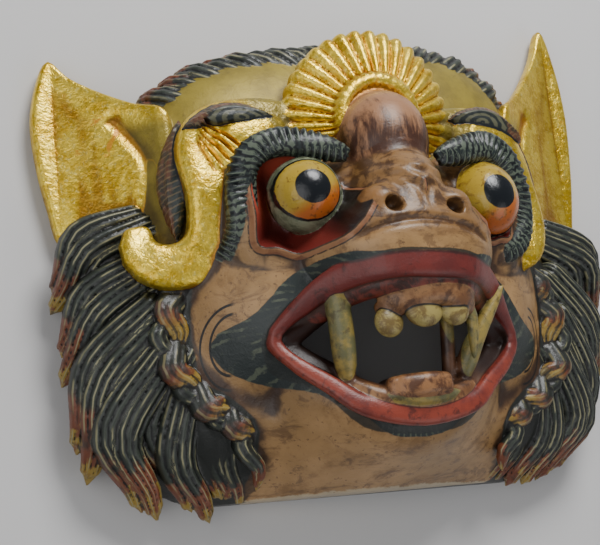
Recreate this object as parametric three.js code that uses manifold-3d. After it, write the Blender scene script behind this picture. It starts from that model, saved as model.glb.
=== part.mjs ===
// Barong mask: one carved block of wood, open through the mouth to its hollow back.
// It lies on its back rim. X is across the face, Y to the crown and Z out of the face, in millimetres.
import * as THREE from 'three';
import { mergeVertices } from 'three/addons/utils/BufferGeometryUtils.js';
import Module from 'manifold-3d';

const wasm = await Module();
wasm.setup();

// Driving dimensions
const MASK_WIDTH = 320;       // across the mane
const WALL = 12;              // wood left between the face and the hollow
const HOLLOW_DEPTH = 56;      // of the hollow, from the back rim
const BOTTOM_RIM = 14;        // flat rim between the neck cut and the hollow
const SIDE_RIM = 52;          // flat rim between the mane's edge and the hollow
const EAR_THICKNESS = 9;      // at the rim of the ear
const EAR_DISH = 6;           // depth of the hollow of the ear
const COMB_THICKNESS = 9;     // of the fan over the forehead
const FLUTE_DEPTH = 2.2;      // of the fan's flutes
const LOCK_THICKNESS = 17;    // of a lock of the mane
const GROOVE_DEPTH = 2;       // of the grooves along a lock
const LIP_THICKNESS = 11;     // of the lips, measured across the roll

// Counts
const LOCK_GROOVES = 4;
const COMB_FLUTES = 26;
const HAIR_LOBES = 7;         // on each side of the middle
const BROW_NOTCHES = 9;

// The carving is set out in parts, which are 320ths of the mask's width. The middle of the face is at 0, 0.
const PARTS_ACROSS = 320;
const PART = MASK_WIDTH / PARTS_ACROSS;
const NECK_CUT = -107;        // height of the flat cut under the chin
const HOLLOW_TOP = 104;       // height of the hollow's upper edge
const LEAN = -0.034;          // the carver's hand: the right side sits lower by this share
const LEAN_TOP = 0.0012;      // change of that share for each part above the pupils
const PUPIL_HEIGHT = 33;
const JAW_HEIGHT = -40;       // below this the lean dies out towards the neck cut

const at = (x, y, z) => new THREE.Vector3(x, y, z);

// Helpers

// Closed form made from a sphere: place(row, angle) gives the point for a row from 0 to 1 and an angle.
function loft(columns, rows, place) {
  const geometry = new THREE.SphereGeometry(1, columns, rows);
  const position = geometry.attributes.position;
  for (let index = 0; index < position.count; index += 1) {
    const row = Math.floor(index / (columns + 1)) / rows;
    const column = (index % (columns + 1)) % columns;
    const point = place(row, (column / columns) * 2 * Math.PI);
    position.setXYZ(index, point.x, point.y, point.z);
  }
  return geometry;
}

// Closed solid of a geometry whose coordinates are in parts.
function solid(geometry) {
  const bare = geometry.index ? geometry.clone() : geometry;
  bare.deleteAttribute('normal');
  bare.deleteAttribute('uv');
  const merged = mergeVertices(bare, 0.0001);
  const vertProperties = Float32Array.from(merged.attributes.position.array, (value) => value * PART);
  const corners = [];
  const index = merged.index.array;
  for (let i = 0; i < index.length; i += 3) {
    const [a, b, c] = [index[i], index[i + 1], index[i + 2]];
    if (a !== b && b !== c && c !== a) corners.push([a, b, c]);
  }
  const point = (i) => new THREE.Vector3().fromArray(vertProperties, 3 * i);
  const volume = corners.reduce((sum, [a, b, c]) => sum + point(a).dot(point(b).cross(point(c))), 0);
  const triVerts = Uint32Array.from(corners.flatMap(([a, b, c]) => (volume < 0 ? [a, c, b] : [a, b, c])));
  return new wasm.Manifold(new wasm.Mesh({ numProp: 3, vertProperties, triVerts }));
}

const mirrored = (geometry) => geometry.clone().scale(-1, 1, 1);

function join(geometries) {
  return geometries.map(solid).reduce((whole, piece) => whole.add(piece));
}

// Ellipsoid with its middle at centre.
function ball(centre, radii, columns = 14, rows = 9) {
  return new THREE.SphereGeometry(1, columns, rows).scale(...radii).translate(centre.x, centre.y, centre.z);
}

// Round-ended limb along a curve. It faces along up, and shape gives its half width and half thickness.
function limb(points, shape, options = {}) {
  const { columns = 8, rows = 10, up = at(0, 0, 1), section = roundSection } = options;
  const curve = new THREE.CatmullRomCurve3(points);
  return loft(columns, rows, (row, angle) => {
    const along = curve.getPoint(row);
    const across = curve.getTangent(row).cross(up).normalize();
    const outward = across.clone().cross(curve.getTangent(row)).normalize();
    const [halfWidth, halfThickness] = row === 0 || row === 1 ? [0, 0] : shape(row);
    const [x, z] = section(angle);
    return along.addScaledVector(across, x * halfWidth).addScaledVector(outward, z * halfThickness);
  });
}

const roundSection = (angle) => [Math.cos(angle), Math.sin(angle)];

// Width share that is full in the middle and round at both ends.
const roundEnds = (row, power = 4) => (1 - Math.abs(2 * row - 1) ** power) ** 0.5;

// Heights of the face

// Rounded boxes and domes that the face is built up from: middle, foot height, half sizes and squareness.
const DOMES = [
  { x: 0, y: -25, foot: 0, half: [152, 92, 46], power: 2.6 },
  { x: 0, y: 14, foot: 0, half: [118, 122, 55], power: 3.5 },
  { x: 0, y: 0, foot: 0, half: [108, 85, 85], power: 2.5 },
  { x: 0, y: -56, foot: 22, half: [66, 50, 66], power: 2.4 },
  { x: -52, y: 32, foot: 40, half: [38, 40, 42], power: 2.5 },
  { x: 52, y: 32, foot: 40, half: [38, 40, 42], power: 2.5 },
  { x: 0, y: 30, foot: 50, half: [40, 38, 46], power: 2.3 },
  { x: 0, y: 8, foot: 50, half: [54, 31, 69], power: 2.5 },
  { x: 0, y: 34, foot: 70, half: [26, 26, 46], power: 2 },
];
const BLEND = 9;              // width over which two forms run into each other

function domeHeight(dome, x, y) {
  const [halfX, halfY, halfZ] = dome.half;
  const used = Math.abs((x - dome.x) / halfX) ** dome.power + Math.abs((y - dome.y) / halfY) ** dome.power;
  return used >= 1 ? 0 : dome.foot + halfZ * (1 - used) ** (1 / dome.power);
}

function softMax(a, b) {
  const near = Math.max(BLEND - Math.abs(a - b), 0) / BLEND;
  const both = Math.min(a, b) / BLEND;
  return Math.max(a, b) + (near * near * BLEND * Math.min(both, 1)) / 4;
}

function faceHeight(x, y) {
  return DOMES.map((dome) => domeHeight(dome, x, y)).reduce(softMax);
}

// Distance from the middle of the face to the edge of the carved block.
function edgeReach(angle) {
  const [c, s] = [Math.cos(angle), Math.sin(angle)];
  let reach = 0;
  for (let step = 1; step <= 400; step += 1) {
    const distance = step * 0.5;
    if (faceHeight(c * distance, s * distance) > 0) reach = distance;
  }
  return reach;
}

// Main forms

function block() {
  const columns = 38;
  const frontRows = 13;
  const rows = frontRows + 1;
  return loft(columns, rows, (row, angle) => {
    if (row === 1) return at(0, 0, 0);
    const share = Math.sin((row * rows * Math.PI) / (2 * frontRows));
    const reach = edgeReach(angle) * share;
    const [x, y] = [reach * Math.cos(angle), reach * Math.sin(angle)];
    return at(x, y, share === 1 ? 0 : faceHeight(x, y));
  });
}

// Height of the hollow's roof: the face's height with a ball of the wall's thickness rolled under it.
function hollowHeight(x, y) {
  const wall = WALL / PART;
  let height = faceHeight(x, y) - wall;
  for (const share of [0.5, 0.9]) {
    for (let turn = 0; turn < 8; turn += 1) {
      const angle = (turn / 8) * 2 * Math.PI;
      const beside = faceHeight(x + wall * share * Math.cos(angle), y + wall * share * Math.sin(angle));
      height = Math.min(height, beside - wall * Math.sqrt(1 - share * share));
    }
  }
  return Math.min(height, HOLLOW_DEPTH / PART);
}

function hollow() {
  const columns = 22;
  const frontRows = 7;
  const rows = frontRows + 1;
  const halfWidth = (MASK_WIDTH / 2 - SIDE_RIM) / PART;
  const bottom = NECK_CUT + BOTTOM_RIM / PART;
  const middle = (HOLLOW_TOP + bottom) / 2;
  const halfHeight = (HOLLOW_TOP - bottom) / 2;
  const below = -2;
  const power = 2.6;
  const rimSteepness = 140;
  return loft(columns, rows, (row, angle) => {
    if (row === 1) return at(0, middle, below);
    const share = Math.sin((row * rows * Math.PI) / (2 * frontRows));
    const [c, s] = [Math.cos(angle), Math.sin(angle)];
    const square = (Math.abs(c) ** power + Math.abs(s) ** power) ** (-1 / power);
    const [x, y] = [halfWidth * share * square * c, middle + halfHeight * share * square * s];
    const side = rimSteepness * (1 - share ** power) ** (1 / power);
    return at(x, y, share === 1 ? below : Math.min(hollowHeight(x, y), side));
  });
}

// Inner edge of the lips on the right half, from the middle of the upper lip to the middle of the lower.
const MOUTH = [[0, -12], [24, -14], [39, -18], [50, -27], [63, -36], [55, -47], [38, -58], [25, -69],
  [0, -73]];

function mouthOpening() {
  const right = MOUTH.map(([x, y]) => new THREE.Vector2(x, y));
  const left = MOUTH.slice(1, -1).reverse().map(([x, y]) => new THREE.Vector2(-x, y));
  const shape = new THREE.Shape([...right, ...left]);
  const [lowest, depth] = [20, 130];
  return new THREE.ExtrudeGeometry(shape, { depth, bevelEnabled: false }).translate(0, 0, lowest);
}

function lips() {
  const line = [[0, -8, 112], [22, -9, 108], [40, -12, 92], [54, -20, 80], [68, -35, 66], [60, -49, 71],
    [44, -60, 78], [28, -73, 84], [0, -77, 86]];
  const right = line.map(([x, y, z]) => at(x, y, z));
  const left = line.slice(1, -1).reverse().map(([x, y, z]) => at(-x, y, z));
  const curve = new THREE.CatmullRomCurve3([...right, ...left], true);
  const [around, across] = [26, 5];
  const geometry = new THREE.TorusGeometry(2, 1, across, around);
  const position = geometry.attributes.position;
  const radius = LIP_THICKNESS / PART / 2;
  for (let index = 0; index < position.count; index += 1) {
    const along = (index % (around + 1)) / around;
    const angle = (Math.floor(index / (around + 1)) / across) * 2 * Math.PI;
    const point = curve.getPoint(along % 1);
    const side = curve.getTangent(along % 1).cross(at(0, 0, 1)).normalize();
    point.addScaledVector(side, radius * Math.cos(angle)).add(at(0, 0, radius * Math.sin(angle)));
    position.setXYZ(index, point.x, point.y, point.z);
  }
  return geometry;
}

// Teeth, tusks and tongue

// Rod with round ends that thins towards its tip. Its width is read across the face.
function tooth(line, radius, taper, options = {}) {
  const shape = (row) => {
    const size = radius * roundEnds(row) * (1 - taper * row);
    return [size, size];
  };
  return limb(line, shape, { columns: 5, rows: 5, up: at(1, 0, 0), ...options });
}

function upperGum() {
  const line = [at(-27, -30, 91), at(-15, -22, 103), at(1, -18, 107), at(16, -20, 105), at(27, -26, 97)];
  return limb(line, (row) => [7.5 * roundEnds(row), 7 * roundEnds(row)], { rows: 8 });
}

function upperTeeth() {
  const teeth = [[-19, -34, 97, 6.5], [-3, -30, 103, 9], [14, -29, 102, 7]];
  return teeth.map(([x, y, z, halfWidth]) => ball(at(x, y, z), [halfWidth, 7, 5.5], 8, 6));
}

function lowerGum() {
  const line = [at(-34, -58, 78), at(-20, -66, 82), at(0, -69, 84), at(20, -66, 82), at(34, -58, 78)];
  return limb(line, (row) => [6 * roundEnds(row), 7 * roundEnds(row)], { rows: 8 });
}

function tongue() {
  return ball(at(-2, -61, 74), [17, 7, 22], 10, 6);
}

function tusks() {
  const pillar = [at(-40, -10, 88), at(-38, -34, 86), at(-34, -58, 78)];
  const tusk = [at(27, -58, 80), at(35, -38, 86), at(51, -12, 92)];
  const fang = [at(27, -24, 98), at(28, -36, 96), at(29, -50, 92)];
  const rear = [at(19, -18, 88), at(21, -40, 82), at(22, -66, 76)];
  return [
    tooth(pillar, 6, 0, { columns: 7, rows: 7 }),
    tooth(tusk, 6.5, 0.7, { columns: 7, rows: 7 }),
    tooth(fang, 3.5, 0.5),
    tooth(rear, 3.5, 0),
  ];
}

// Nose and bump

function nostril() {
  return ball(at(19, 24, 104), [10, 9, 11], 8, 6);
}

function nostrilHole() {
  return ball(at(16, 21.5, 115), [6.5, 5.5, 8], 7, 5);
}

function bump() {
  return ball(at(0, 64, 78), [24, 27, 23], 12, 7);
}

// Eyes

function eyeball() {
  return ball(at(50, 33, 78), [21.5, 22.5, 22], 12, 7);
}

function socket() {
  const line = [at(22, 30, 100), at(38, 30, 93), at(56, 32, 87), at(78, 24, 83)];
  return limb(line, (row) => [27 * roundEnds(row, 3), 22 * roundEnds(row, 3)], { columns: 9, rows: 5 });
}

// Dark ridge with notches that runs round the top and the outer side of the eye.
function eyebrow() {
  const line = [at(24, 56, 86), at(42, 63, 84), at(57, 66, 80), at(71, 62, 76), at(80, 51, 72),
    at(82, 37, 69), at(82, 23, 65), at(86, 12, 58), at(95, 3, 50)];
  const rows = 2 * BROW_NOTCHES;
  return limb(line, (row) => {
    const notch = Math.round(row * rows) % 2 ? 1 : 0.78;
    return [6 * roundEnds(row), 6.5 * roundEnds(row) * notch];
  }, { columns: 5, rows });
}

// Gold band that starts beside the comb, turns down at the temple and ends in a hook below the ear.
function browBand() {
  const line = [at(40, 84, 56), at(66, 85, 58), at(88, 79, 57), at(96, 64, 56), at(94, 40, 57),
    at(92, 18, 53), at(100, 4, 48), at(112, -4, 43), at(124, 0, 39), at(130, 12, 35), at(125, 28, 32)];
  return limb(line, (row) => {
    const taper = 1 - 0.25 * row;
    return [11 * roundEnds(row, 6) * taper, 10 * roundEnds(row, 6) * taper];
  }, { columns: 7, rows: 13 });
}

function leaves() {
  const brow = [at(98, 83, 60), at(74, 92, 62), at(49, 84, 64)];
  const temple = [at(104, 80, 55), at(108, 50, 52), at(104, 20, 50)];
  const shape = (row) => [6 * Math.sin(Math.PI * row), 4 * roundEnds(row)];
  return [
    limb(brow, shape, { columns: 6, rows: 5, up: at(0, 0.5, 1) }),
    limb(temple, shape, { columns: 6, rows: 5, up: at(1, 0, 0.6) }),
  ];
}

// Ears and comb

// Plate round an outline: rows run from the middle of the front over the rim to the middle of the back.
function plate(outline, middle, profile, frontHeight) {
  const count = outline.length;
  return loft(count, profile.length - 1, (row, angle) => {
    const corner = outline[Math.round((angle / (2 * Math.PI)) * count) % count];
    const [share, lift] = profile[Math.round(row * (profile.length - 1))];
    const [x, y] = [middle.x + (corner.x - middle.x) * share, middle.y + (corner.y - middle.y) * share];
    return at(x, y, frontHeight(x, y, share) + lift);
  });
}

function ear() {
  const outline = new THREE.Shape();
  outline.moveTo(152, 24);
  outline.bezierCurveTo(160, 60, 170, 112, 153, 147);
  outline.bezierCurveTo(142, 118, 126, 104, 100, 90);
  outline.bezierCurveTo(98, 70, 100, 45, 108, 28);
  outline.bezierCurveTo(120, 24, 138, 22, 152, 24);
  const middle = new THREE.Vector2(132, 72);
  const thickness = EAR_THICKNESS / PART;
  const dish = EAR_DISH / PART;
  const profile = [[0, -dish], [0.5, -dish * 0.8], [0.93, 0], [1, -thickness / 2], [0.93, -thickness],
    [0, -thickness - dish]];
  const [tipHeight, headHeight] = [12, 38];
  const frontHeight = (x) => {
    const towardsHead = THREE.MathUtils.clamp((150 - x) / 42, 0, 1) ** 1.3;
    return THREE.MathUtils.lerp(tipHeight, headHeight, towardsHead);
  };
  return plate(outline.getSpacedPoints(19).slice(0, -1), middle, profile, frontHeight);
}

// Outline of the fan: two points for each flute, then a few for the side that the forehead hides.
const COMB_FLUTED = 2 * COMB_FLUTES;
const COMB_HIDDEN = 6;

function combOutline(middle) {
  const start = -0.15 * Math.PI;
  const span = Math.PI - 2 * start;
  const outline = [];
  for (let index = 0; index < COMB_FLUTED + COMB_HIDDEN; index += 1) {
    const behind = start + span + ((index - COMB_FLUTED) / COMB_HIDDEN) * (2 * Math.PI - span);
    const angle = index < COMB_FLUTED ? start + (index / COMB_FLUTED) * span : behind;
    const scallop = index % 2 ? 0 : 1.6;
    const reach = 44 + 11 * Math.max(Math.sin(angle), 0) + scallop;
    outline.push(new THREE.Vector2(reach * Math.cos(angle), middle.y + reach * Math.sin(angle)));
  }
  return outline;
}

function comb() {
  const middle = new THREE.Vector2(0, 72);
  const outline = combOutline(middle);
  const thickness = COMB_THICKNESS / PART;
  const wedge = 36;
  const profile = [[0, 3], [0.55, 3], [0.6, 0], [1, 0], [0.97, -thickness], [0.7, -wedge], [0, -wedge]];
  const frontHeight = (x, y, share) => 80 - 14 * share * share + 0.1 * (y - middle.y);
  const geometry = plate(outline, middle, profile, frontHeight);
  const [flutesFrom, flutesTo] = [2, 3];
  const position = geometry.attributes.position;
  for (let index = 0; index < position.count; index += 1) {
    const column = index % (outline.length + 1);
    const row = Math.floor(index / (outline.length + 1));
    const onFlute = column % 2 && row >= flutesFrom && row <= flutesTo;
    if (onFlute) position.setZ(index, position.getZ(index) - FLUTE_DEPTH / PART);
  }
  return geometry;
}

// Mane and hair

// Columns of a lock's section: ridges and grooves over the front and a few behind.
const LOCK_FRONT = 2 * LOCK_GROOVES;
const LOCK_COLUMNS = LOCK_FRONT + 3;

function lockSection(angle) {
  const column = Math.round((angle / (2 * Math.PI)) * LOCK_COLUMNS);
  if (column > LOCK_FRONT) {
    const x = -1 + (2 * (column - LOCK_FRONT)) / (LOCK_COLUMNS - LOCK_FRONT);
    return [x, -0.5];
  }
  const turn = (column / LOCK_FRONT) * Math.PI;
  const groove = column % 2 ? GROOVE_DEPTH / (LOCK_THICKNESS / 2) : 0;
  return [Math.cos(turn), Math.sin(turn) * (1 - groove)];
}

// Lock that swings out by bulge between its root and its tip.
function lock({ root, bulge, halfWidth }, tip) {
  const halfThickness = LOCK_THICKNESS / PART / 2;
  const [start, end] = [at(...root), at(...tip)];
  const bend = start.clone().lerp(end, 0.5).setZ(28);
  const outward = at(start.y - end.y, end.x - start.x, 0).normalize();
  return limb([start, bend.addScaledVector(outward, bulge), end], (row) => {
    const fullness = Math.sin(Math.PI * Math.min(0.2 + row * 0.8, 1)) ** 0.5;
    return [halfWidth * fullness, halfThickness * fullness * (1.1 - 0.35 * row)];
  }, { columns: LOCK_COLUMNS, rows: 5, section: lockSection });
}

// Locks from the ear down to the neck. The two sides were carved by eye, so their tips differ.
const LOCKS = [
  { root: [116, 30, 30], left: [159, -12, 8], right: [161, -14, 8], bulge: 12, halfWidth: 13 },
  { root: [112, 4, 36], left: [156, -48, 8], right: [151, -58, 8], bulge: 11, halfWidth: 15 },
  { root: [110, -18, 38], left: [147, -93, 9], right: [126, -99, 10], bulge: 13, halfWidth: 16 },
  { root: [108, -38, 38], left: [114, -112, 13], right: [104, -108, 14], bulge: 19, halfWidth: 15 },
  { root: [98, -52, 37], left: [88, -115, 15], right: [84, -110, 15], bulge: 11, halfWidth: 13 },
  { root: [78, -66, 34], left: [71, -107, 14], right: [70, -106, 14], bulge: 6, halfWidth: 10 },
];

function mane() {
  return LOCKS.flatMap((form) => [mirrored(lock(form, form.left)), lock(form, form.right)]);
}

// Small flames of hair beside the cheek: middle, direction and half length.
const CURLS = [
  { middle: [101, -6], degrees: 80, halfLength: 8 },
  { middle: [108, -24], degrees: 85, halfLength: 12 },
  { middle: [105, -50], degrees: 40, halfLength: 10 },
  { middle: [88, -66], degrees: -15, halfLength: 9 },
  { middle: [74, -72], degrees: -35, halfLength: 8 },
];

function curls() {
  return CURLS.map(({ middle: [x, y], degrees, halfLength }) => {
    const turn = THREE.MathUtils.degToRad(degrees);
    const [dx, dy] = [halfLength * Math.cos(turn), halfLength * Math.sin(turn)];
    const line = [at(x + dx, y + dy, 40), at(x, y, 46), at(x - dx, y - dy, 42)];
    const shape = (row) => [6 * Math.sin(Math.PI * row) ** 0.6, 6 * roundEnds(row)];
    return limb(line, shape, { columns: 5, rows: 4 });
  });
}

// Lobes of swept hair over the top edge, from beside the ear to the middle.
function hairLobes() {
  const lobes = [];
  for (let index = 0; index < HAIR_LOBES; index += 1) {
    const share = (index + 0.5) / HAIR_LOBES;
    const turn = THREE.MathUtils.degToRad(THREE.MathUtils.lerp(40, 90, share));
    const [c, s] = [Math.cos(turn), Math.sin(turn)];
    const reach = (c ** 4 + s ** 4) ** (-1 / 4);
    const [x, y] = [120 * reach * c, 131 * reach * s];
    const slant = 9 * (1 - share) + 5;
    const root = at(x * 0.84 - slant, y * 0.86, 26 + 10 * share);
    const bend = at(x * 0.95, y * 0.97, 24 + 8 * share);
    const tip = at(x + 4, y, 8);
    const shape = (row) => [11 * roundEnds(row, 3), 8 * roundEnds(row, 3)];
    lobes.push(limb([root, bend, tip], shape, { columns: 5, rows: 4 }));
  }
  return lobes;
}

// The carver's hand: the crown side turns a little one way and the jaw the other way.
function lean(x, y) {
  const neckFade = -LEAN / (JAW_HEIGHT - NECK_CUT);
  const share = LEAN + LEAN_TOP * Math.max(y - PUPIL_HEIGHT, 0) + neckFade * Math.max(JAW_HEIGHT - y, 0);
  return y + x * share;
}

// Whole mask

// Waste that the saw takes off: everything below the neck cut and everything behind the back rim.
function waste() {
  const size = 2 * PARTS_ACROSS;
  const below = new THREE.BoxGeometry(size, size, size).translate(0, NECK_CUT - size / 2, 0);
  const behind = new THREE.BoxGeometry(size, size, size).translate(0, 0, -size / 2);
  return [below, behind].map(solid);
}

function carve() {
  const pair = (geometry) => [geometry, mirrored(geometry)];
  const pairs = (geometries) => geometries.flatMap(pair);
  const [belowNeck, behindRim] = waste();
  const head = solid(block())
    .subtract(belowNeck)
    .add(join([bump(), comb(), ...pair(nostril()), ...pair(ear())]))
    .subtract(join(pair(socket())))
    .add(join(pairs([eyeball(), eyebrow(), browBand(), ...leaves(), ...curls(), ...hairLobes()])))
    .add(join(mane()))
    .subtract(solid(hollow()))
    .subtract(solid(mouthOpening()))
    .subtract(join(pair(nostrilHole())));
  return head
    .add(join([lips(), upperGum(), ...upperTeeth(), lowerGum(), tongue(), ...tusks()]))
    .subtract(behindRim);
}

// Overlapping forms can shut in pockets of a hair's width, which are wood in one carved block.
function withoutPockets(whole) {
  return whole.decompose().reduce((a, b) => (a.volume() > b.volume() ? a : b));
}

function maskGeometry() {
  const mesh = withoutPockets(carve()).getMesh();
  const geometry = new THREE.BufferGeometry();
  const position = new THREE.BufferAttribute(new Float32Array(mesh.vertProperties), 3);
  for (let index = 0; index < position.count; index += 1) {
    const [x, y] = [position.getX(index) / PART, position.getY(index) / PART];
    position.setY(index, lean(x, y) * PART);
  }
  geometry.setAttribute('position', position);
  geometry.setIndex(new THREE.BufferAttribute(new Uint32Array(mesh.triVerts), 1));
  return geometry;
}

function mask() {
  const geometry = maskGeometry();
  geometry.computeBoundingBox();
  const middle = geometry.boundingBox.getCenter(new THREE.Vector3());
  const wood = new THREE.MeshStandardMaterial({ color: 0xa8795a, roughness: 0.5, metalness: 0 });
  const mesh = new THREE.Mesh(geometry, wood);
  mesh.name = 'mask';
  mesh.position.set(-middle.x, -middle.y, 0);
  return mesh;
}

const model = new THREE.Group();
model.add(mask());

export default model;
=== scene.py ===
# Barong mask in carved, painted and gilded wood, lying on its back rim on a pale floor.
# Lengths are millimetres in the mask's own frame until the mesh is made, which is in metres.
import math

import bpy
import numpy as np
from mathutils import Matrix, Vector


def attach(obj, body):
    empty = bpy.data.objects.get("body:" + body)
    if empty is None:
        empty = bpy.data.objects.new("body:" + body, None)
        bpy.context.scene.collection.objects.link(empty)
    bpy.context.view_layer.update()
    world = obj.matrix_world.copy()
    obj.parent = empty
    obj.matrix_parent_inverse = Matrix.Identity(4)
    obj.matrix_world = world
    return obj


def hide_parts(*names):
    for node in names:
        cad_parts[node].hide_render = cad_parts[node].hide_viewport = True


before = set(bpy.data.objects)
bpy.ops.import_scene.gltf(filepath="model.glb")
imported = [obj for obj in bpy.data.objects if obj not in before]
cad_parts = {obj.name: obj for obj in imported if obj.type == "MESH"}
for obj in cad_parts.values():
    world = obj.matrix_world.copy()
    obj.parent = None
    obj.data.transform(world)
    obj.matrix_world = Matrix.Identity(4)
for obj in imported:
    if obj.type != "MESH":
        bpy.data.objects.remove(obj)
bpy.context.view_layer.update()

F = np.float32

# Frame and grid
CELL = 0.8                      # grid spacing of the carved form
LOW = (-172.0, -121.6, -1.6)    # corner of the grid
HIGH = (172.0, 160.0, 122.4)
FOOT_CENTRE = (0.771, 19.993)   # middle of the mask's footprint
MOST_TRIANGLES = 190_000
SHARP_ANGLE = math.radians(55)
ROOM = 3                        # how far round a form its distance is read
FIELD_LIMIT = 9                 # farthest distance that the paint is given
PHOTO_WIDTH = 600
SENSOR_WIDTH = 36

# Sizes that the solid has too
WALL = 12.0
HOLLOW_DEPTH = 56.0
HOLLOW_HALF_WIDTH = 108.0
HOLLOW_TOP = 104.0
HOLLOW_BOTTOM = -93.0
NECK_CUT = -107.0
LEAN = -0.034
LEAN_TOP = 0.0012
PUPIL_HEIGHT = 33.0
JAW_HEIGHT = -40.0

DOMES = [
    (0, -25, 0, 152, 92, 46, 2.6),
    (0, 14, 0, 118, 122, 55, 3.5),
    (0, 0, 0, 108, 85, 85, 2.5),
    (0, -56, 22, 66, 50, 66, 2.4),
    (-52, 32, 40, 38, 40, 42, 2.5),
    (52, 32, 40, 38, 40, 42, 2.5),
    (0, 30, 50, 40, 38, 46, 2.3),
    (0, 8, 50, 54, 31, 69, 2.5),
    (0, 34, 70, 26, 26, 46, 2.0),
]
BLEND = 14.0

# Outlines on the right half of the face, seen from in front
MOUTH = [(0, -12), (24, -14), (39, -18), (50, -27), (63, -36), (55, -47), (38, -58), (25, -69), (0, -73)]
LIP_OUTER = [(0, -3), (15, -3), (30, -5), (38, -8), (47, -13), (56, -20), (64, -26), (69, -35), (68, -42),
             (64, -50), (55, -54), (48, -59), (42, -64), (31, -75), (21, -80), (4, -82), (0, -82)]
BAND_OUTER = [(0, -3), (20, -2.5), (33, -1), (42, -0.5), (52, -3), (61, -9), (69, -18), (77, -25), (90, -31),
              (92, -35), (91, -41), (85, -48), (76, -53), (64, -57), (51, -61), (36, -69), (25, -77),
              (17, -83), (7, -85.5), (0, -85.5)]
RIGHT_SOCKET = 0.70             # the right socket's size beside the left one's
SOCKET = [(64, 57), (56, 56), (47, 54), (39, 46), (33, 38), (24, 31), (25, 26), (32, 15), (39, 8), (47, 5),
          (55, 4), (63, 7), (72, 9), (73, 25), (74, 35), (73, 45), (71, 51)]
FOREHEAD = [(0, 119), (32, 119), (51, 119), (68, 115), (86, 106), (100, 94), (101, 80), (88, 70), (70, 66),
            (57, 66), (42, 63), (30, 57), (20, 55), (0, 55)]
EAR_CREASE = [(124, 95), (116.5, 82), (110.5, 68), (109.5, 51), (112.5, 32)]
EAR = [(152, 24), (157, 45), (161, 70), (163, 100), (160, 126), (153, 147), (143, 132), (131, 119),
       (116, 106), (100, 95), (99, 70), (101, 48), (108, 28), (122, 24), (138, 23)]


def lerp(a, b, t):
    return a + (b - a) * t


def ease(low, high, value):
    t = np.clip((value - low) / (high - low), 0, 1)
    return t * t * (3 - 2 * t)


def smooth_min(a, b, width):
    near = np.maximum(width - np.abs(a - b), 0) / width
    return np.minimum(a, b) - near * near * width / 4


def smooth_max(a, b, width):
    return -smooth_min(-a, -b, width)


# Values over the plan of the face

X = np.arange(LOW[0], HIGH[0], CELL, dtype=F)
Y = np.arange(LOW[1], HIGH[1], CELL, dtype=F)
Z = np.arange(LOW[2], HIGH[2], CELL, dtype=F)
PX, PY = np.meshgrid(X, Y, indexing="ij")


def sample(plan, x, y):
    """Value of a plan at points between its nodes."""
    i = np.clip((x - X[0]) / CELL, 0, len(X) - 1.001)
    j = np.clip((y - Y[0]) / CELL, 0, len(Y) - 1.001)
    i0, j0 = i.astype(np.int32), j.astype(np.int32)
    u, v = (i - i0).astype(F), (j - j0).astype(F)
    return ((1 - u) * ((1 - v) * plan[i0, j0] + v * plan[i0, j0 + 1])
            + u * ((1 - v) * plan[i0 + 1, j0] + v * plan[i0 + 1, j0 + 1]))


def spline(points, count, closed=False):
    """Points spread evenly along a smooth curve through the given points."""
    p = np.array(points, float)
    n = len(p)
    if closed:
        p = np.vstack([p[-1], p, p[0], p[1]])
        spans = n
    else:
        p = np.vstack([2 * p[0] - p[1], p, 2 * p[-1] - p[-2]])
        spans = n - 1
    t = np.linspace(0, 1, 17)[:-1, None]
    out = []
    for k in range(spans):
        a, b, c, d = p[k:k + 4]
        out.append(0.5 * (2 * b + (c - a) * t + (2 * a - 5 * b + 4 * c - d) * t ** 2
                          + (3 * b - a - 3 * c + d) * t ** 3))
    out.append(p[spans + 1:spans + 2])
    fine = np.vstack(out)
    run = np.concatenate([[0], np.cumsum(np.linalg.norm(np.diff(fine, axis=0), axis=1))])
    at = np.linspace(0, run[-1], count + 1 if closed else count)
    even = np.stack([np.interp(at, run, fine[:, k]) for k in range(fine.shape[1])], 1)
    return even[:-1] if closed else even


def outline(half, count=90, smooth=True):
    """Closed outline from the points of its right half, from top to bottom."""
    right = [tuple(p) for p in half]
    left = [(-x, y) for x, y in reversed(right) if x > 0]
    whole = right + left
    return spline(whole, count, closed=True) if smooth else np.array(whole, float)


def signed_plan(polygon, mirrored=False):
    """Distance to a closed outline over the plan: below zero inside."""
    x = np.abs(PX) if mirrored else PX
    best = np.full(PX.shape, 1e9, F)
    inside = np.zeros(PX.shape, bool)
    for (ax, ay), (bx, by) in zip(polygon, np.roll(polygon, -1, axis=0)):
        ex, ey = F(bx - ax), F(by - ay)
        wx, wy = x - F(ax), PY - F(ay)
        t = np.clip((wx * ex + wy * ey) / (ex * ex + ey * ey + F(1e-9)), 0, 1)
        best = np.minimum(best, (wx - ex * t) ** 2 + (wy - ey * t) ** 2)
        if ay != by:
            cross = (PY >= min(ay, by)) & (PY < max(ay, by))
            inside ^= cross & (x < ax + (PY - ay) * (bx - ax) / (by - ay))
    return (np.where(inside, -1, 1) * np.sqrt(best)).astype(F)


def dome_height(dome, x, y):
    cx, cy, foot, hx, hy, hz, power = dome
    used = np.abs((x - cx) / hx) ** power + np.abs((y - cy) / hy) ** power
    height = foot + hz * np.clip(1 - used, 0, 1) ** (1 / power)
    return np.where(used >= 1, 0, height)


def face_height(x, y):
    total = dome_height(DOMES[0], x, y)
    for dome in DOMES[1:]:
        b = dome_height(dome, x, y)
        near = np.maximum(BLEND - np.abs(total - b), 0) / BLEND
        total = np.maximum(total, b) + near * near * BLEND * np.minimum(np.minimum(total, b) / BLEND, 1) / 4
    return total


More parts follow.
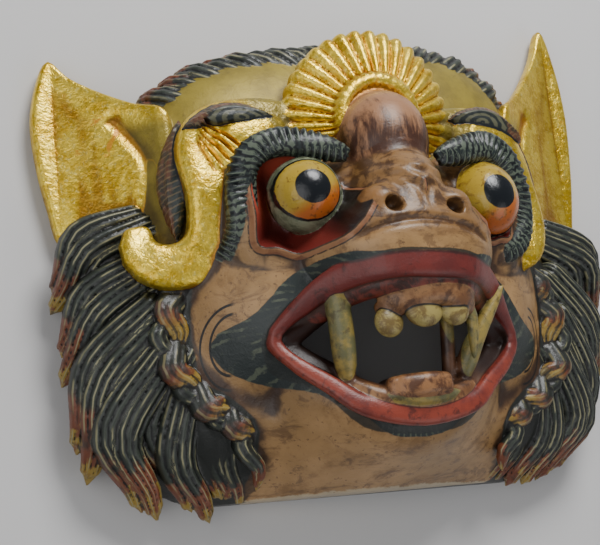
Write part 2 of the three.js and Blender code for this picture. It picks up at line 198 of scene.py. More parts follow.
def hollow_height():
    height = face_height(PX, PY) - WALL
    for share in (0.5, 0.9):
        for turn in range(8):
            a = turn / 8 * 2 * math.pi
            beside = face_height(PX + WALL * share * math.cos(a), PY + WALL * share * math.sin(a))
            height = np.minimum(height, beside - WALL * math.sqrt(1 - share * share))
    middle = (HOLLOW_TOP + HOLLOW_BOTTOM) / 2
    half = (HOLLOW_TOP - HOLLOW_BOTTOM) / 2
    used = np.abs(PX / HOLLOW_HALF_WIDTH) ** 2.6 + np.abs((PY - middle) / half) ** 2.6
    side = np.where(used < 1, 140 * np.clip(1 - used, 0, 1) ** (1 / 2.6), -4)
    return np.minimum(np.minimum(height, side), HOLLOW_DEPTH).astype(F)


def steepness(plan, most=4.0):
    gx, gy = np.gradient(plan, CELL)
    return np.sqrt(1 + np.minimum(gx * gx + gy * gy, most * most)).astype(F)


# Carved forms: each gives the distance from points to its surface

def ellipsoid(centre, radii):
    c, r = np.array(centre, F), np.array(radii, F)

    def distance(p):
        q = p - c
        k0 = np.sqrt(((q / r) ** 2).sum(1))
        k1 = np.sqrt(((q / (r * r)) ** 2).sum(1)) + F(1e-6)
        return k0 * (k0 - 1) / k1, None, None

    return {"low": c - r - ROOM, "high": c + r + ROOM, "distance": distance}


def limb(points, shape, count=20, up=(0, 0, 1), closed=False, groove=None, strands_across=1, seed=0,
         power=2):
    """Swept form: shape gives half width and half thickness along it, groove cuts into its surface."""
    line = spline(points, count, closed)
    if closed:
        line = np.vstack([line, line[:1]])
    n = len(line)
    share = np.linspace(0, 1, n)
    sizes = np.array([shape(s) for s in share], float)
    sizes = np.maximum(sizes, 0.4)
    tangent = np.gradient(line, axis=0)
    if closed:
        tangent[0] = tangent[-1] = line[1] - line[-2]
    tangent /= np.linalg.norm(tangent, axis=1)[:, None]
    across = np.cross(tangent, np.array(up, float))
    across /= np.linalg.norm(across, axis=1)[:, None]
    outward = np.cross(across, tangent)
    line, sizes, tangent, across, outward = [a.astype(F) for a in (line, sizes, tangent, across, outward)]
    reach = sizes.max() + ROOM

    def stretch(k, p):
        a, e = line[k], line[k + 1] - line[k]
        w = p - a
        t = np.clip((w @ e) / F(e @ e), 0, 1)
        q = w - t[:, None] * e
        u = (q @ across[k]) * (1 - t) + (q @ across[k + 1]) * t
        v = (q @ outward[k]) * (1 - t) + (q @ outward[k + 1]) * t
        l = q @ tangent[k]
        hw = sizes[k, 0] * (1 - t) + sizes[k + 1, 0] * t
        ht = sizes[k, 1] * (1 - t) + sizes[k + 1, 1] * t
        small = np.minimum(hw, ht)
        rho = (np.abs(u / hw) ** power + np.abs(v / ht) ** power + np.abs(l / small) ** power) ** (1 / power)
        rho = rho + F(1e-6)
        far = np.sqrt(u * u + v * v + l * l)
        d = np.where(rho < 0.3, -0.7 * small, far * (1 - 1 / rho))
        if groove is not None:
            d = d + groove((k + t) / (n - 1), u / hw, v / ht, hw)
        return d, (k + t) / (n - 1), u / hw

    def distance(p):
        best = np.full(len(p), 1e9, F)
        along, over = np.zeros(len(p), F), np.zeros(len(p), F)
        for k in range(n - 1):
            d, here, side = stretch(k, p)
            nearer = d < best
            best = np.where(nearer, d, best)
            along = np.where(nearer, here, along)
            over = np.where(nearer, side, over)
        return best, along, over

    spans = []
    for k in range(n - 1):
        room = sizes[k:k + 2].max() + ROOM
        spans.append((line[k:k + 2].min(0) - room, line[k:k + 2].max(0) + room))
    return {"low": line.min(0) - reach, "high": line.max(0) + reach, "distance": distance,
            "strands": strands_across, "seed": seed, "spans": spans, "stretch": stretch}


def mirrored(form):
    turn = np.array([-1, 1, 1], F)

    def flipped(low, high):
        return (np.array([-high[0], low[1], low[2]], F), np.array([-low[0], high[1], high[2]], F))

    low, high = flipped(form["low"], form["high"])
    made = {**form, "low": low, "high": high, "distance": lambda p: form["distance"](p * turn)}
    if "spans" in form:
        made["spans"] = [flipped(*span) for span in form["spans"]]
        made["stretch"] = lambda k, p: form["stretch"](k, p * turn)
    return made


def ends(s, power=4):
    return max(1 - abs(2 * s - 1) ** power, 0) ** 0.5


def strands(count, depth):
    """Grooves that run along a lock, a little uneven."""
    def groove(s, u, v, hw):
        x = (u * 0.5 + 0.5) * count
        cut = 1 - np.abs(np.sin(np.pi * x)) ** 0.6
        return depth * cut * np.clip(hw / 5, 0, 1) * np.clip(v + 0.6, 0, 1)
    return groove


def notches(count, depth, power=0.6):
    """Grooves that run across a ridge."""
    def groove(s, u, v, hw):
        cut = 1 - np.abs(np.sin(np.pi * (count * s + 0.5 * u))) ** power
        return depth * cut
    return groove


LOCKS = [
    ((116, 30, 30), (159, -12, 8), (161, -14, 8), 12, 13),
    ((112, 4, 36), (156, -48, 8), (151, -58, 8), 11, 15),
    ((110, -18, 38), (147, -93, 9), (126, -99, 10), 13, 16),
    ((108, -38, 38), (114, -112, 13), (104, -108, 14), 19, 15),
    ((98, -52, 37), (88, -115, 15), (84, -110, 15), 11, 13),
    ((78, -66, 34), (71, -107, 14), (70, -106, 14), 6, 10),
]
LOCK_BEND = 28.0
LOCK_THICKNESS = 17.0


def tapered(half_width, half_thickness, start=0.2, point=0.5):
    """Shape of a lock: full near its root and rounded or pointed at its tip."""
    def shape(s):
        full = math.sin(math.pi * min(start + (1 - start) * s, 1)) ** point
        return half_width * full, half_thickness * full * (1.1 - 0.35 * s)
    return shape


def lock(root, tip, bulge, half_width, lift, seed):
    a, b = np.array(root, float), np.array(tip, float)
    out = np.array([a[1] - b[1], b[0] - a[0], 0])
    out /= np.linalg.norm(out)
    bend = (a + b) / 2 + bulge * out
    bend[2] = LOCK_BEND + lift
    sway = a + 0.82 * (b - a) + 0.30 * bulge * out
    sway[2] = lerp(LOCK_BEND, tip[2], 0.55) + 0.5 * lift
    count = max(int(half_width * 2 / 3.4), 3)
    return limb([a, bend, sway, b], tapered(half_width, LOCK_THICKNESS / 2, 0.2, 0.36), count=12,
                groove=strands(count, 1.4), strands_across=count, seed=seed)


def mane_forms():
    """Each lock of the solid is carved as three that lie side by side."""
    rng = np.random.default_rng(5)
    forms = []
    for root, left, right, bulge, half_width in LOCKS:
        for tip in (left, right):
            a, b = np.array(root, float), np.array(tip, float)
            out = np.array([a[1] - b[1], b[0] - a[0], 0]) / np.linalg.norm(b[:2] - a[:2])
            for side, lift in ((-1, -3.0), (1, -2.0), (0, 0.0)):
                reach = 1.0 if side == 0 else rng.uniform(0.84, 0.97)
                start = a + out * side * half_width * 0.50
                end = a + (b - a) * reach + out * side * half_width * rng.uniform(0.45, 0.7)
                form = lock(start, end, bulge * rng.uniform(0.8, 1.1), half_width * 0.58, lift,
                            20 * len(forms))
                forms.append(mirrored(form) if tip == left else form)
    return forms


def flame(x, y, degrees, size, half_width, seed, lift=0.0):
    t = math.radians(degrees)
    dx, dy = -size * math.cos(t), -size * math.sin(t)
    nx, ny = -math.sin(t) * 0.28 * size, math.cos(t) * 0.28 * size
    points = [(x - dx + nx, y - dy + ny, 41 + lift), (x - dx * 0.3 - nx, y - dy * 0.3 - ny, 44 + lift),
              (x + dx * 0.5 + nx * 0.6, y + dy * 0.5 + ny * 0.6, 43 + lift),
              (x + dx * 1.2, y + dy * 1.2, 38 + lift)]
    return limb(points, tapered(half_width, 5.5, 0.3), count=10, groove=strands(3, 0.9),
                strands_across=3, seed=seed)


CURLS = [(101, -4, 84, 9), (107, -22, 92, 13), (105, -48, 62, 12), (90, -63, 32, 11), (77, -73, 45, 9)]
BETWEEN = [(105, -11, 92, 13), (111, -35, 80, 15), (99, -57, 48, 14), (85, -69, 40, 12), (73, -86, 80, 14)]


def curl_forms():
    """Flames of hair beside the cheek, with darker ones tucked between them."""
    forms = []
    for k, (x, y, degrees, size) in enumerate(BETWEEN):
        forms += [("mane", 0.6, f) for f in pair(flame(x, y, degrees, size, 5.0, 900 + 7 * k, -1.5))]
    for k, (x, y, degrees, size) in enumerate(CURLS):
        forms += [("curl", 0.6, f) for f in pair(flame(x, y, degrees, size, 7.6, 700 + 7 * k, 0.5))]
    return forms


HAIR_LOBES = 12


def hair_forms():
    """Ridge of hair lobes above the forehead, on either side of the comb."""
    forms = []
    for index in range(HAIR_LOBES):
        share = (index + 0.5) / HAIR_LOBES
        turn = math.radians(lerp(33, 91, share))
        c, s = math.cos(turn), math.sin(turn)
        reach = (c ** 4 + s ** 4) ** -0.25
        x, y = 120 * reach * c, 131 * reach * s
        slant = 9 * (1 - share) + 7
        low = index % 2
        points = [(x * 0.84 - slant, y * 0.86, 26 + 10 * share),
                  (x * 0.95 + 1, y * 0.97, 25 + 8 * share - low),
                  (x + 6, y + 2 - 4 * low, 10 + 3 * low)]
        form = limb(points, tapered(9.5, 9.0, 0.3, 0.4), count=8, groove=strands(4, 1.5), strands_across=4,
                    seed=30 * index)
        forms += pair(form)
    return forms


def pair(form):
    return [form, mirrored(form)]


EYES = [ellipsoid((-46.5, 34.5, 78), (18.5, 19.5, 20)), ellipsoid((54.5, 35, 78), (18, 19.5, 20))]
BROW_FLUTES = 32
EYEBROW_LEFT = [(24, 53, 88), (42, 59, 86), (57, 62, 82), (70, 58, 78), (76.5, 48, 75), (77, 36, 72),
                (76.5, 22, 69.5), (79, 11, 64), (87, 2, 55)]
EYEBROW_RIGHT = [(24, 53, 88), (42, 59, 86), (57, 62, 82), (70, 57, 78), (77, 46, 75), (79, 34, 72),
                 (77, 22, 73), (70, 12, 76), (61, 6, 78)]
BAND_LEFT = [(40, 80, 60), (66, 81, 60), (85, 77, 59), (91.5, 64, 58), (89, 40, 60), (89, 19, 56),
             (94, 9, 51), (104, 4, 48), (115, 5, 46), (122, 13, 43), (122, 25, 42)]
BAND_RIGHT = [(36, 78, 61), (60, 79, 61), (76, 74, 60), (85, 63, 59), (89, 48, 59), (92, 36, 59),
              (92, 25, 60), (88, 14, 63), (80, 6, 67)]
BAND_FILL = [(50, 73, 66), (66, 71, 65), (78, 64, 63), (84, 50, 61)]
UPPER_LEAF_LEFT = [(101, 75, 63), (79, 83, 67), (54, 79, 69)]
UPPER_LEAF_RIGHT = [(92, 70, 64.5), (71, 81, 67.5), (46, 80, 69.5)]
SIDE_LEAF_LEFT = [(98, 85, 51), (104, 50, 50), (103, 17, 47)]
SIDE_LEAF_RIGHT = [(93, 78, 52), (101, 52, 49), (100, 24, 48)]
LIPS = [(0, -5.5, 114.5), (22, -6.5, 110.5), (40, -11, 94.5), (54, -21, 80), (66, -35, 68), (59, -47, 72),
        (44, -59, 79), (28, -71, 85), (0, -76, 87)]


def rod(points, radius, taper=0.0):
    def shape(s):
        size = radius * ends(s) * (1 - taper * s)
        return size, size
    return limb(points, shape, count=12, up=(1, 0, 0))


def band_shape(s):
    taper = (1 - 0.15 * s) * (1 - 0.2 * max((s - 0.8) / 0.2, 0) ** 1.5)
    return 12.8 * ends(s, 14) * taper, 8.0 * ends(s, 14) * taper


def narrow_band_shape(s):
    wide, thick = band_shape(s)
    return 0.72 * wide, thick


def band_folds():
    """Creases that fan out where the left band turns down at the temple."""
    forms = []
    for k in range(5):
        start, end = (93 + 0.4 * k, 81 - 2.8 * k, 66.0), (71 + 3.6 * k, 61 - 3.4 * k, 71.5 - 0.4 * k)
        middle = tuple(lerp(a, b, 0.5) + lift for a, b, lift in zip(start, end, (1, 1, -0.4)))
        crease = limb([start, middle, end], lambda s: (1.1 * ends(s, 8), 3.4 * ends(s, 8)), count=8)
        forms.append(mirrored(crease))
    return forms


def leaf_shape(half_width):
    return lambda s: (half_width * math.sin(math.pi * s) ** 0.8, 4.4 * ends(s))


def leaf_veins(s, u, v, hw):
    """A midrib with slanting veins."""
    rib = -0.9 * np.exp(-(u / 0.14) ** 2)
    veins = 0.5 * (1 - np.abs(np.sin(np.pi * (9 * s + 1.2 * np.abs(u)))) ** 0.6) * (np.abs(u) > 0.2)
    return rib + veins


def comb_reach(angle):
    return 44 + 11 * np.maximum(np.sin(angle), 0)


COMB_MIDDLE = 72.0
COMB_FLUTES = 26


def comb_distance(p):
    x, y, z = p[:, 0], p[:, 1] - COMB_MIDDLE, p[:, 2]
    r = np.sqrt(x * x + y * y) + F(1e-3)
    angle = np.arctan2(y, x)
    span = 1.3 * math.pi
    turn = (np.mod(angle + 0.5 * math.pi, 2 * math.pi) - 0.5 * math.pi + 0.15 * math.pi) / span
    wave = np.abs(np.sin(np.pi * COMB_FLUTES * turn))
    reach = comb_reach(angle) + 1.8 * wave
    share = r / reach
    front = 80 - 14 * share * share + 0.1 * y
    fluted = ease(0.52, 0.56, share)
    ring = np.sqrt(np.clip(1 - ((share - 0.465) / 0.07) ** 2, 0, 1))
    front = front + 3.2 * ring - fluted * 2.6 * (1 - wave ** 0.7)
    back = front - 9 - 27 * np.clip((1 - share) / 0.3, 0, 1)
    d = smooth_max(z - front, r - reach, 2.5)
    return smooth_max(d, (back - z) * 0.8, 2.0) * 0.9, turn, share


PLANS = {}


def ear_distance(p):
    x, y, z = np.abs(p[:, 0]), p[:, 1], p[:, 2]
    y = y + np.where(p[:, 0] < 0, 6 * np.clip((y - 90) / 57, 0, 1), 0)
    edge = sample(PLANS["ear"], x, y)
    on_right = p[:, 0] > 0
    front = 12 + np.where(on_right, 24, 27) * np.clip((152 - x) / 46, 0, 1) ** 1.15
    crease = np.exp(-(sample(PLANS["ear_crease"], x, y) / 4.0) ** 2)
    swell = 3.0 * np.exp(-((x - 101) / 6) ** 2)
    dish = 0.8 * ease(2, 22, -edge) + 3.4 * crease - swell
    d = smooth_max(z - (front - dish), edge, 3.0)
    return smooth_max(d, (front - 9 - dish) - z, 3.0), x * 0, edge


def box_form(low, high, distance):
    return {"low": np.array(low, F), "high": np.array(high, F), "distance": distance}


def all_forms():
    """Region name, blend width and form, in the order that they are carved."""
    forms = [("bump", 6.0, ellipsoid((0, 64, 78), (24, 27, 23)))]
    forms += [("comb", 1.0, box_form((-60, 30, 20), (60, 132, 92), comb_distance))]
    forms += [("skin", 4.0, f) for f in pair(ellipsoid((19, 24, 104), (10, 9, 11)))]
    forms += [("ear", 1.5, box_form((94, 18, 0), (168, 152, 46), ear_distance)),
              ("ear", 1.5, box_form((-168, 18, 0), (-94, 152, 46), ear_distance))]
    forms += [("eye", 0.6, f) for f in EYES]
    brows = [limb(path, lambda s: (8.0 * ends(s, 6), 5.8 * ends(s, 6)), count=36, power=2.6,
                  groove=notches(BROW_FLUTES, 2.2, 0.8)) for path in (EYEBROW_LEFT, EYEBROW_RIGHT)]
    fill = limb(BAND_FILL, lambda s: (11.0 * ends(s), 7.0 * ends(s)), count=14, power=3)
    forms += [("band", 4.0, f) for f in pair(fill)]
    forms += [("band", 2.0, mirrored(limb(BAND_LEFT, band_shape, count=34, power=3.2))),
              ("band", 2.5, limb(BAND_RIGHT, narrow_band_shape, count=34, power=3.2))]
    forms += [("brow", 1.0, mirrored(brows[0])), ("brow", 1.0, brows[1])]
    upper = [limb(path, leaf_shape(7.0), count=14, up=(0, 0.5, 1), groove=leaf_veins)
             for path in (UPPER_LEAF_LEFT, UPPER_LEAF_RIGHT)]
    side = [limb(path, leaf_shape(9.0), count=14, up=(1, 0, 0.9), groove=leaf_veins)
            for path in (SIDE_LEAF_LEFT, SIDE_LEAF_RIGHT)]
    forms += [("leaf", 0.6, f) for f in (mirrored(upper[0]), upper[1], mirrored(side[0]), side[1])]
    forms += [("hair", 0.6, f) for f in hair_forms()]
    forms += [("mane", 0.6, f) for f in mane_forms()]
    forms += curl_forms()
    return forms


def lip_shape(s):
    """Broad at the middle of the upper lip, thin at the corners."""
    top = max(1 - min(s, 1 - s) / 0.22, 0) ** 0.6
    bottom = max(1 - abs(s - 0.5) / 0.2, 0) ** 0.6
    return 3.4 + 5.3 * top + 1.9 * bottom, 3.2


def mouth_forms():
    line = [tuple(p) for p in LIPS] + [(-x, y, z) for x, y, z in reversed(LIPS) if x > 0]
    inner = [(0.88 * x, -41 + 0.80 * (y + 41), z - 7) for x, y, z in line]
    forms = [("inner", 3.0, limb(inner, lambda s: (7.0, 6.0), count=60, closed=True, power=2.4)),
             ("lip", 1.0, limb(line, lip_shape, count=60, closed=True, power=2.8))]
    gum = [(-22, -29, 94), (-13, -22, 103), (1, -18, 107), (16, -20, 105), (27, -26, 97)]
    forms += [("gum", 2.0, limb(gum, lambda s: (8.0 * ends(s), 5.5 * ends(s)), count=16, power=2.5))]
    for x, y, z, half in [(-19, -33, 99, 7.4), (-3, -29, 105, 9.8), (14, -28, 104, 8.0)]:
        forms += [("tooth", 0.6, ellipsoid((x, y, z), (half, 7.5, 4.6)))]
    low = [(-34, -58, 78), (-20, -66, 82), (0, -69, 84), (20, -66, 82), (34, -58, 78)]
    forms += [("gum", 2.0, limb(low, lambda s: (6 * ends(s), 7 * ends(s)), count=16))]
    forms += [("tusk", 0.8, limb([(-20, -66, 88), (0, -68, 90), (21, -65, 88)],
                                 lambda s: (3.6 * ends(s), 3.5 * ends(s)), count=8))]
    forms += [("tongue", 1.5, ellipsoid((-2, -61, 74), (15, 6, 16))),
              ("tongue", 1.5, limb([(-16, -63, 85), (0, -62, 90), (14, -61, 88)],
                                   lambda s: (6.2 * ends(s, 6), 7 * ends(s, 6)), count=8, power=3.2))]
    forms += [("tusk", 1.5, rod([(-40, -10, 88), (-38, -34, 86), (-34, -58, 78)], 6)),
              ("tusk", 1.5, rod([(27, -58, 80), (35, -38, 86), (51, -12, 92)], 6.5, 0.7)),
              ("tusk", 1.0, rod([(27, -24, 98), (28, -36, 96), (29, -50, 92)], 3.5, 0.5)),
              ("tusk", 1.0, rod([(19, -18, 88), (21, -40, 82), (22, -66, 76)], 3.5))]
    return forms


class Grid:
    """Signed distance on a regular grid: below zero in the wood."""

    def __init__(self, start):
        self.d = start

    def cut(self, low, high):
        """Slices of the grid round a box."""
        def node(corner, k, more):
            return max(int((corner[k] - LOW[k]) / CELL) + more, 0)
        return tuple(slice(node(low, k, 0), node(high, k, 2)) for k in range(3))

    def add_swept(self, form, width):
        """Join a swept form, reading each of its stretches only near by."""
        box = self.cut(form["low"], form["high"])
        best = np.full(self.d[box].shape, 1e3, F)
        for k, (low, high) in enumerate(form["spans"]):
            here = self.cut(low, high)
            local = tuple(slice(max(h.start - b.start, 0), max(min(h.stop, b.stop) - b.start, 0))
                          for h, b in zip(here, box))
            sub = best[local]
            if not sub.size:
                continue
            x, y, z = [axis[b][l] for axis, b, l in zip((X, Y, Z), box, local)]
            gx, gy, gz = np.meshgrid(x, y, z, indexing="ij")
            d = form["stretch"](k, np.stack([gx.ravel(), gy.ravel(), gz.ravel()], 1))[0]
            best[local] = np.minimum(sub, d.reshape(sub.shape))
        self.d[box] = smooth_min(self.d[box], best, F(width))

    def change(self, form, width, add=True):
        if add and "spans" in form:
            self.add_swept(form, width)
            return
        part = self.cut(form["low"], form["high"])
        sub = self.d[part]
        near = sub > -6 if add else sub < 6
        i, j, k = np.nonzero(near)
        p = np.stack([X[part[0]][i], Y[part[1]][j], Z[part[2]][k]], 1)
        d = form["distance"](p)[0]
        old = sub[i, j, k]
        sub[i, j, k] = smooth_min(old, d, F(width)) if add else smooth_max(old, -d, F(width))


def surface(d):
    """Closed quad mesh where the grid's values cross zero."""
    inside = d < 0
    total = np.zeros(tuple(n - 1 for n in d.shape), np.int8)
    corners = [(a, b, c) for a in (0, 1) for b in (0, 1) for c in (0, 1)]
    nx, ny, nz = total.shape
    for a, b, c in corners:
        total += inside[a:a + nx, b:b + ny, c:c + nz]
    ci, cj, ck = np.nonzero((total > 0) & (total < 8))
    number = np.full(total.shape, -1, np.int32)
    number[ci, cj, ck] = np.arange(len(ci), dtype=np.int32)
    value = {c: d[ci + c[0], cj + c[1], ck + c[2]] for c in corners}
    point = np.zeros((len(ci), 3), F)
    hits = np.zeros(len(ci), F)
    for p in corners:
        for axis in range(3):
            if p[axis]:
                continue
            q = tuple(v + (m == axis) for m, v in enumerate(p))
            a, b = value[p], value[q]
            cross = (a < 0) != (b < 0)
            t = np.where(cross, a / np.where(cross, a - b, 1), 0)
            for m in range(3):
                point[:, m] += np.where(cross, p[m] + (t if m == axis else 0), 0)
            hits += cross
    point = point / hits[:, None] + np.stack([ci, cj, ck], 1)
    point = point * CELL + np.array(LOW)
    quads = []
    for axis in range(3):
        b, c = (axis + 1) % 3, (axis + 2) % 3
        lo = [slice(1, n - 1) for n in d.shape]
        hi = list(lo)
        lo[axis], hi[axis] = slice(0, d.shape[axis] - 1), slice(1, d.shape[axis])
        first, second = inside[tuple(lo)], inside[tuple(hi)]
        change = np.nonzero(first != second)
        cell = [change[m] + (0 if m == axis else 1) for m in range(3)]
        flip = first[change]
        around = []
        for db, dc in [(-1, -1), (0, -1), (0, 0), (-1, 0)]:
            at = list(cell)
            at[b], at[c] = at[b] + db, at[c] + dc
            around.append(number[tuple(at)])
        quad = np.stack(around, 1)
        quad[~flip] = quad[~flip][:, ::-1]
        quads.append(quad)
    return point.astype(F), np.concatenate(quads)


def blurred(plan, width):
    """Plan with its steps smoothed over a width in mm."""
    half = int(3 * width / CELL)
    weight = np.exp(-0.5 * (np.arange(-half, half + 1) * CELL / width) ** 2)
    weight /= weight.sum()
    padded = np.pad(plan, half, mode="edge")
    rows = np.apply_along_axis(np.convolve, 0, padded, weight, "valid")
    return np.apply_along_axis(np.convolve, 1, rows, weight, "valid").astype(F)


def wrinkles():
    """Folds across the bridge and round the wings of the nose, in mm above the face."""
    x, y = np.abs(PX), PY
    bridge = np.exp(-(x / 17) ** 4) * ease(27, 33, y) * (1 - ease(52, 57, y))
    across = 0.45 * (np.cos(2 * np.pi * (y + 0.012 * x * x) / 7.0) - 1) * bridge
    wing = np.hypot((x - 19) / 1.1, y - 22)
    folds = 0.5 * (np.cos(2 * np.pi * wing / 6.5) - 1)
    folds = folds * ease(11, 14, wing) * (1 - ease(24, 28, wing)) * ease(19, 25, y + 0.35 * x)
    under = y - (13.5 - 0.006 * x * x)
    crease = -2.4 * np.exp(-(under / 2.2) ** 2) * (1 - ease(30, 38, x))
    return across + folds + crease


def lay_out():
    """Plans that the carving and the paint both follow."""
    height = face_height(PX, PY).astype(F)
    height = np.where(height <= 0, F(-4), height)
    PLANS["hollow"] = hollow_height()
    PLANS["ear"] = signed_plan(spline(EAR, 80, closed=True), mirrored=True)
    socket = signed_plan(spline(SOCKET, 60, closed=True), mirrored=True)
    tight = RIGHT_SOCKET * sample(socket, 52 + (PX - 52) / RIGHT_SOCKET, 35 + (PY - 35) / RIGHT_SOCKET)
    PLANS["socket"] = np.where(PX > 0, tight, socket).astype(F)
    PLANS["mouth"] = signed_plan(outline(MOUTH))
    PLANS["lip_edge"] = signed_plan(outline(LIP_OUTER))
    PLANS["dark_band"] = signed_plan(outline(BAND_OUTER))
    PLANS["forehead"] = signed_plan(outline(FOREHEAD))
    PLANS["face"] = signed_plan(outline(FACE))
    PLANS["ear_crease"] = line_plan(spline(EAR_CREASE, 24))
    soft = blurred(np.maximum(height, 0), 11)
    chin = ease(0, 16, PLANS["dark_band"]) * (1 - ease(-45, -25, PY)) * (1 - ease(80, 92, np.abs(PX)))
    height = np.where(height > 0, lerp(height, soft, chin), height).astype(F)
    height = height + wrinkles()
    deep = height + 1.5 - 20 * np.sin(0.5 * np.pi * np.clip(-PLANS["socket"] / 15, 0, 1))
    floor = np.minimum(height, PLANS["hollow"] + 5)
    raised = height + 1.5 * (1 - ease(0.6, 3.0, PLANS["socket"]))
    dug = np.where(PLANS["socket"] < 0, np.maximum(deep, floor), raised).astype(F)
    PLANS["dug"] = dug
    PLANS["steep"] = steepness(dug)
    PLANS["hollow_steep"] = steepness(PLANS["hollow"])


def carve():
    dug, hollow, mouth = PLANS["dug"], PLANS["hollow"], PLANS["mouth"]
    d = (Z[None, None, :] - dug[:, :, None]) / PLANS["steep"][:, :, None]
    d = np.maximum(d, (F(NECK_CUT) - Y)[None, :, None])
    grid = Grid(d.astype(F))
    for name, width, form in FORMS:
        grid.change(form, width)
    cave = (Z[None, None, :] - hollow[:, :, None]) / PLANS["hollow_steep"][:, :, None]
    grid.d = smooth_max(grid.d, -cave, F(1.5))
    hole = np.broadcast_to(mouth[:, :, None], grid.d.shape)
    part = grid.cut((-75, -85, 20), (75, 0, 121))
    grid.d[part] = smooth_max(grid.d[part], -hole[part], F(1.5))
    for form in pair(ellipsoid((16.5, 21.5, 115), (4.6, 4.0, 8))):
        grid.change(form, 1.5, add=False)
    for form in band_folds():
        grid.change(form, 0.6, add=False)
    for name, width, form in MOUTH_FORMS:
        grid.change(form, width)
    grid.d = np.maximum(grid.d, -Z[None, None, :])
    grid.d[0], grid.d[-1] = 5, 5
    grid.d[:, 0], grid.d[:, -1] = 5, 5
    grid.d[:, :, 0], grid.d[:, :, -1] = 5, 5
    return surface(grid.d)


def largest(points, quads):
    """The biggest connected piece: sealed pockets and crumbs are left out."""
    n = len(points)
    label = np.arange(n)
    a = np.concatenate([quads[:, 0], quads[:, 1], quads[:, 2]])
    b = np.concatenate([quads[:, 1], quads[:, 2], quads[:, 3]])
    while True:
        low = np.minimum(label[a], label[b])
        new = label.copy()
        np.minimum.at(new, a, low)
        np.minimum.at(new, b, low)
        new = new[new]
        new = new[new]
        if (new == label).all():
            break
        label = new
    biggest = np.bincount(label).argmax()
    keep = label == biggest
    index = np.cumsum(keep) - 1
    return points[keep], index[quads[keep[quads[:, 0]]]]


def lean(x, y):
    fade = -LEAN / (JAW_HEIGHT - NECK_CUT)
    share = LEAN + LEAN_TOP * np.maximum(y - PUPIL_HEIGHT, 0) + fade * np.maximum(JAW_HEIGHT - y, 0)
    return y + x * share


def placed(points):
    """Points of the mask frame as metres in the part's frame."""
    p = np.array(points, float)
    p[:, 1] = lean(p[:, 0], p[:, 1])
    p[:, 0] -= FOOT_CENTRE[0]
    p[:, 1] -= FOOT_CENTRE[1]
    return p / 1000


def decimated(points, quads):
    mesh = bpy.data.meshes.new("carving")
    mesh.vertices.add(len(points))
    mesh.vertices.foreach_set("co", points.astype(F).ravel())
    mesh.loops.add(quads.size)
    mesh.loops.foreach_set("vertex_index", quads.ravel().astype(np.int32))
    mesh.polygons.add(len(quads))
    mesh.polygons.foreach_set("loop_start", np.arange(0, quads.size, 4, dtype=np.int32))
    mesh.update(calc_edges=True)
    made = bpy.data.objects.new("carving", mesh)
    bpy.context.scene.collection.objects.link(made)
    modifier = made.modifiers.new("thin_out", "DECIMATE")
    modifier.ratio = MOST_TRIANGLES / (2 * len(quads))
    graph = bpy.context.evaluated_depsgraph_get()
    thin = bpy.data.meshes.new_from_object(made.evaluated_get(graph))
    bpy.data.objects.remove(made)
    bpy.data.meshes.remove(mesh)
    return thin


# Paint

# Painted arcs on the cheek: centre and radii
CHEEK_ARCS = [(82.5, -37, 13.5, 19.5), (82.5, -36, 9.5, 14.0)]
PUPILS = [(-49, 34), (54, 35.5)]
FACE = [(0, 70), (60, 62), (84, 40), (90, 14), (97, 2), (98, -6), (99, -15), (99.5, -28), (98, -40),
        (96, -52), (86, -57), (79, -63), (71, -71), (69, -80), (69.5, -93), (68, -108), (0, -112)]


def line_plan(points):
    """Distance over the plan to an open line on either half of the face."""
    best = np.full(PX.shape, 1e9, F)
    x = np.abs(PX)
    for (ax, ay), (bx, by) in zip(points[:-1], points[1:]):
        ex, ey = F(bx - ax), F(by - ay)
        wx, wy = x - F(ax), PY - F(ay)
        t = np.clip((wx * ex + wy * ey) / (ex * ex + ey * ey), 0, 1)
        best = np.minimum(best, (wx - ex * t) ** 2 + (wy - ey * t) ** 2)
    return np.sqrt(best).astype(F)


def hollows(points, edges, rounds=10):
    """Each point moved to the mean of its neighbours, once for each round, for hollows to be measured
    against.
    """
    count = np.bincount(edges.ravel(), minlength=len(points)).astype(float)[:, None]
    smooth = points.astype(float)
    for _ in range(rounds):
        total = np.zeros_like(smooth)
        for k in range(3):
            total[:, k] = np.bincount(edges[:, 0], smooth[edges[:, 1], k], len(points))
            total[:, k] += np.bincount(edges[:, 1], smooth[edges[:, 0], k], len(points))
        smooth = total / np.maximum(count, 1)
    return smooth


